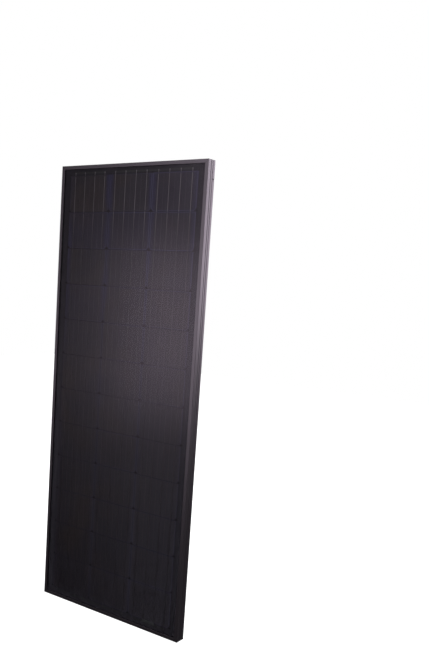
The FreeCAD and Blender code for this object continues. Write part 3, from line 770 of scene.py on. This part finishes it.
class SOLAR_OT_films(bpy.types.Operator):
    """Finish the films behind the cells and the sealant round the laminate, and run the beads of
    sealant along the frame's inner edges"""

    bl_idname, bl_label = "solar.films", "Films and sealant"
    bl_options = {"REGISTER", "UNDO"}

    def execute(self, context):
        looks = context.scene.solar_back
        dress(black_film(), "rear_encapsulant")
        dress(laminated_film(looks), "backsheet")
        sealant = rubbery("sealant", (0.010, 0.010, 0.010))
        dress(sealant, "edge_seal", "box_adhesive")
        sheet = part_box("backsheet")[1].y
        loop, out = rounded_loop((0.0, HEIGHT / 2), HALF_WIDTH - LIP, HEIGHT / 2 - LIP, 1.5 * MM)
        # A hollow quarter of an ellipse from the film to the rail's wall, which it is let into.
        turn = np.linspace(0, np.pi / 2, 6)
        across, up = looks.bead * (1 - np.sin(turn)), looks.bead * 0.4 * (1 - np.cos(turn))
        hollow = zip(-across[::-1], sheet + up[::-1])
        into_rail = 0.4 * MM
        profile = [(into_rail, sheet + up[-1]), *hollow, (into_rail, sheet - SUNK)]
        piece("rear_sealant_bead", *ring(loop, out, profile), sealant, slot="black_sealant", smooth=True)
        return {"FINISHED"}


class SOLAR_OT_frame(bpy.types.Operator):
    """Finish the four rails and the keys in their corners"""

    bl_idname, bl_label = "solar.frame", "Frame"
    bl_options = {"REGISTER", "UNDO"}

    def execute(self, context):
        looks = context.scene.solar_rails
        dress(anodised("anodised_upright", "z", looks), "frame_side_left", "frame_side_right")
        dress(anodised("anodised_level", "x", looks), "frame_end_top", "frame_end_bottom")
        dress(mill_aluminium(), "corner_keys")
        return {"FINISHED"}


class SOLAR_OT_labels(bpy.types.Operator):
    """Give the labels their film and ruled lines"""

    bl_idname, bl_label = "solar.labels", "Labels"
    bl_options = {"REGISTER", "UNDO"}

    def execute(self, context):
        dress(blank_label(context.scene.solar_back), "labels")
        return {"FINISHED"}


class SOLAR_OT_junction_box(bpy.types.Operator):
    """Finish the junction box and what it holds, and add its ribs, its lid's border and grips, and the
    adhesive squeezed out round its foot"""

    bl_idname, bl_label = "solar.junction_box", "Junction box"
    bl_options = {"REGISTER", "UNDO"}

    def execute(self, context):
        looks = context.scene.solar_back
        plastic = moulded("box_plastic", looks.plastic, 0.5 * MM, 0.34)
        dress(plastic, "junction_box_base", "junction_box_lid")
        dress(rubbery("rim_rubber", (0.012, 0.012, 0.012)), "box_rim_seal")
        dress(steel(), "hinge_pins")
        dress(moulded("diode_epoxy", (0.02, 0.02, 0.021), 0.2 * MM, 0.3), "bypass_diodes")
        low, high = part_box("junction_box_base")
        top = high.z - 5 * MM  # just above the tray: the hinge's lugs stand higher
        bare = 14 * MM  # above and below the ribs
        levels = np.arange(low.z + bare, top - bare, looks.rib_pitch)
        ribs = [(side, (low.y + high.y) / 2, z) for side in (low.x, high.x) for z in levels]
        half = (0.6 * MM, 6.5 * MM, 0.9 * MM)
        piece("box_side_ribs", *pebbles(ribs, half), plastic, slot="box_plastic", smooth=True)

        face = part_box("junction_box_lid")[1].y
        middle = (0.0, (low.z + top) / 2)
        across, up = (high.x - low.x) / 2, (top - low.z) / 2
        inset = 3.2 * MM
        loop, out = rounded_loop(middle, across - inset, up - inset, 3 * MM)
        # The border is half an ellipse, and its foot is sunk in the lid.
        turn = np.linspace(np.pi, 0, 7)
        border_half, border_height = 1.2 * MM, 0.7 * MM
        depth = face + border_height * np.sin(turn) - SUNK
        points, faces = ring(loop, out, np.stack([-border_half * np.cos(turn), depth], axis=1))
        piece("lid_border", points, faces, plastic, "box_lid", slot="box_plastic", smooth=True)
        # Four grips, three of them on the finger tab below the lid's edge.
        grip_pitch = 1.6 * MM
        grips = [(0.0, face, low.z + (k - 2.6) * grip_pitch) for k in range(4)]
        half = (7 * MM, 0.5 * MM, 0.45 * MM)
        piece("lid_grips", *pebbles(grips, half), plastic, "box_lid", slot="box_plastic", smooth=True)

        # The adhesive's bead is a quarter of an ellipse that stands on the film round the pad.
        pad_low, pad_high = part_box("box_adhesive")
        loop, out = rounded_loop(middle, pad_high.x, (pad_high.z - pad_low.z) / 2, 1 * MM)
        turn = np.linspace(np.pi / 2, 0, 6)
        bead_width, bead_height = 3.4 * MM, 1.6 * MM
        across, depth = bead_width * np.sin(turn), pad_low.y + bead_height * np.cos(turn)
        profile = [(0.0, pad_low.y - SUNK), *zip(across, depth)]
        sealant = rubbery("squeezed_adhesive", (0.011, 0.011, 0.011))
        piece("adhesive_bead", *ring(loop, out, profile), sealant, slot="black_sealant", smooth=True)
        return {"FINISHED"}


class SOLAR_OT_glands(bpy.types.Operator):
    """Finish the cable glands and add the gripping ribs of their nuts"""

    bl_idname, bl_label = "solar.glands", "Cable glands"
    bl_options = {"REGISTER", "UNDO"}

    def execute(self, context):
        nylon = moulded("gland_nylon", (0.016, 0.016, 0.017), 0.25 * MM, 0.36)
        dress(nylon, "cable_glands", "gland_nuts")
        dress(rubbery("gland_rubber", (0.013, 0.013, 0.013)), "gland_seals")
        low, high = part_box("gland_nuts")
        corner = (high.y - low.y) / np.sqrt(3)
        flat = corner * np.sqrt(0.75)
        # Three ribs on each of a nut's six flats: a rib stands at the flat's middle or a step to a side.
        facing = np.radians(30 + 60 * np.arange(6))[:, None]
        step = corner * 0.28 * np.array([-1, 0, 1])
        around_x = np.cos(facing) * flat - np.sin(facing) * step
        around_y = np.sin(facing) * flat + np.cos(facing) * step
        hearts = np.array([low.x + corner, high.x - corner])[:, None, None]
        x = (hearts + around_x).ravel()
        y = ((low.y + high.y) / 2 + np.broadcast_to(around_y, (2, 6, 3))).ravel()
        grip_middle = high.z - 3.5 * MM  # half the height of the nut's hexagon
        ribs = np.stack([x, y, np.full_like(x, grip_middle)], axis=1)
        half = (0.4 * MM, 0.4 * MM, 3.1 * MM)
        piece("gland_nut_ribs", *pebbles(ribs, half, 0.6), nylon, slot="gland_plastic", smooth=True)
        return {"FINISHED"}


class SOLAR_OT_studio(bpy.types.Operator):
    """Set up the camera, the lamps, the white surroundings and the floor"""

    bl_idname, bl_label = "solar.studio", "Studio"
    bl_options = {"REGISTER", "UNDO"}

    def execute(self, context):
        scene = context.scene
        looks = scene.solar_studio
        camera = bpy.data.objects.new("camera", bpy.data.cameras.new("camera"))
        scene.collection.objects.link(camera)
        turn = Matrix.Rotation(looks.azimuth, 4, "Z") @ Matrix.Rotation(np.pi / 2 - looks.dip, 4, "X")
        camera.matrix_world = Matrix.Translation(looks.camera) @ turn @ Matrix.Rotation(looks.roll, 4, "Z")
        camera.data.lens = looks.lens
        camera.data.shift_x, camera.data.shift_y = looks.shift_right, looks.shift_up
        scene.camera = camera
        scene.view_settings.view_transform = "Standard"

        middle, top = Vector((0, 0, HEIGHT / 2)), Vector((0, 0, HEIGHT))
        right_wall = Vector((0.27, 0, 1.0))
        # Each lamp's name, place, aim, width, height and power, in metres and watts.
        for settings in (
            ("key_lamp", (0.25, -0.6, 1.85), top, 0.8, 0.3, looks.key),
            ("band_lamp", (-1.05, -2.0, 0.79), middle, 0.8, 0.95, looks.band),
            ("upper_lamp", (-0.68, -2.0, 1.75), middle, 0.55, 0.75, looks.upper),
            ("side_lamp", (1.85, 2.4, 1.62), right_wall, 1.5, 1.9, looks.side),
            ("right_lamp", (2.6, -0.1, 1.0), middle, 1.2, 1.6, looks.right),
            ("left_lamp", (-2.4, 0.8, 0.9), middle, 1.2, 1.6, looks.left),
            ("rear_lamp", (0.3, 2.8, 2.7), middle, 1.2, 1.2, looks.rear),
        ):
            lamp(*settings)

        # White all round, but dim in mirror images, so that the dark glass stays dark.
        world = scene.world = bpy.data.worlds.new("surroundings")
        world.use_nodes = True
        nodes, links = world.node_tree.nodes, world.node_tree.links
        strength = nodes.new("ShaderNodeMix")
        strength.inputs[2].default_value, strength.inputs[3].default_value = looks.ambient, looks.mirrored
        links.new(nodes.new("ShaderNodeLightPath").outputs["Is Glossy Ray"], strength.inputs[0])
        links.new(strength.outputs[0], nodes["Background"].inputs["Strength"])
        nodes["Background"].inputs["Color"].default_value = rgba((1.0, 1.0, 1.0))
        world.cycles.sampling_method = "NONE"

        reach, ground = 6.0, cad_low.z - 0.2 * MM
        corners = ((-reach, -reach), (reach, -reach), (reach, reach), (-reach, reach))
        mesh = bpy.data.meshes.new("floor")
        mesh.from_pydata([(x, y, ground) for x, y in corners], [], [(0, 1, 2, 3)])
        mesh.materials.append(studio_floor(looks))
        floor = bpy.data.objects.new("floor", mesh)
        scene.collection.objects.link(floor)
        floor.visible_glossy = floor.visible_diffuse = False
        floor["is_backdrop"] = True
        return {"FINISHED"}


def lamp(name, spot, target, width, height, watts):
    """A soft rectangular lamp that faces a point and isn't seen itself."""
    light = bpy.data.lights.new(name, "AREA")
    light.shape = "RECTANGLE"
    light.size, light.size_y, light.energy = width, height, watts
    made = bpy.data.objects.new(name, light)
    bpy.context.scene.collection.objects.link(made)
    aim = (target - Vector(spot)).to_track_quat("-Z", "Y").to_matrix().to_4x4()
    made.matrix_world = Matrix.Translation(spot) @ aim
    made.visible_camera = False


class SOLAR_PT_sidebar(bpy.types.Panel):
    """Lists what can be changed and what can be made"""

    bl_idname, bl_label = "SOLAR_PT_sidebar", "Solar Panel"
    bl_space_type, bl_region_type, bl_category = "VIEW_3D", "UI", "Solar Panel"

    def draw(self, context):
        for group in SETTINGS:
            looks = getattr(context.scene, group)
            for name in looks.__annotations__:
                self.layout.prop(looks, name)
        for operator in OPERATORS:
            self.layout.operator(operator.bl_idname)


SETTINGS = {
    "solar_pane": PaneLooks,
    "solar_cells": CellLooks,
    "solar_rails": RailLooks,
    "solar_back": BackLooks,
    "solar_studio": StudioLooks,
}
OPERATORS = (
    SOLAR_OT_studio,
    SOLAR_OT_pane,
    SOLAR_OT_cells,
    SOLAR_OT_fingers,
    SOLAR_OT_ribbons,
    SOLAR_OT_films,
    SOLAR_OT_frame,
    SOLAR_OT_labels,
    SOLAR_OT_junction_box,
    SOLAR_OT_glands,
)
CLASSES = (*SETTINGS.values(), *OPERATORS, SOLAR_PT_sidebar)


def register():
    for cls in CLASSES:
        bpy.utils.register_class(cls)
    for name, group in SETTINGS.items():
        setattr(bpy.types.Scene, name, PointerProperty(type=group))


def unregister():
    for name in SETTINGS:
        delattr(bpy.types.Scene, name)
    for cls in reversed(CLASSES):
        bpy.utils.unregister_class(cls)


def main():
    register()
    for operator in OPERATORS:
        group, name = operator.bl_idname.split(".")
        getattr(getattr(bpy.ops, group), name)()


if __name__ == "__main__":
    main()
